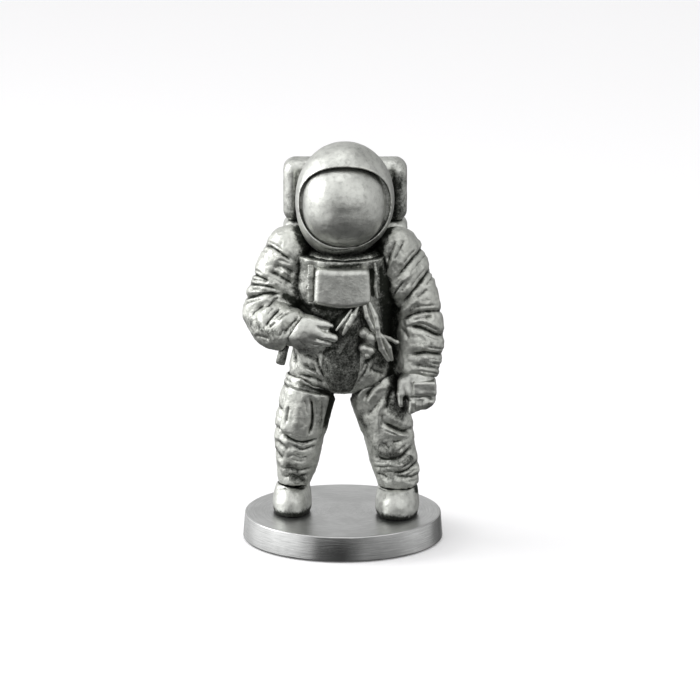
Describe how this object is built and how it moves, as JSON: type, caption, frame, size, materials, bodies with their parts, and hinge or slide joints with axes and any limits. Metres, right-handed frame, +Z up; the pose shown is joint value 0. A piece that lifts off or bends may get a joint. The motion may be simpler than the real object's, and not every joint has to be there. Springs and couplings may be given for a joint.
{
  "type": "astronaut statuette",
  "caption": "Cast pewter statuette of an astronaut in a moon suit with helmet, backpack and chest unit, standing on a turned round base with a pad underneath.",
  "frame": {"origin": "centre of the base pad's underside, the surface that rests on a table", "axes": "+Z up, the figure faces -Y, and its right hand is on the -X side"},
  "size_m": [0.0403, 0.04, 0.082],
  "materials": {
    "turned_pewter": "satin",
    "burnished_pewter": "satin",
    "cast_pewter": "satin",
    "pad_felt": "matte",
    "steel": "satin"
  },
  "bodies": {
    "root": {"base": "turned_pewter", "base_pad": "pad_felt", "right_boot": "burnished_pewter", "left_boot": "burnished_pewter", "right_glove": "burnished_pewter", "left_glove": "burnished_pewter", "helmet_shell": "burnished_pewter", "visor": "burnished_pewter", "chest_unit": "burnished_pewter", "backpack_main": "burnished_pewter", "backpack_top_unit": "burnished_pewter", "right_leg": "cast_pewter", "left_leg": "cast_pewter", "torso": "cast_pewter", "belly_cover": "cast_pewter", "right_sleeve": "cast_pewter", "left_sleeve": "cast_pewter", "neck_ring": "cast_pewter", "right_strap": "cast_pewter", "left_strap": "cast_pewter", "thigh_pocket": "cast_pewter", "hip_rod": "cast_pewter", "right_chest_hose": "cast_pewter", "left_hose_inner": "cast_pewter", "left_hose_outer": "cast_pewter", "left_hose_branch": "cast_pewter", "connector_upper": "cast_pewter", "connector_lower": "cast_pewter", "right_screw": "steel", "left_screw": "steel", "neck_dowel": "steel", "right_shoulder_dowel": "steel", "left_shoulder_dowel": "steel", "backpack_dowel_upper": "steel", "backpack_dowel_lower": "steel"}
  },
  "joints": []
}
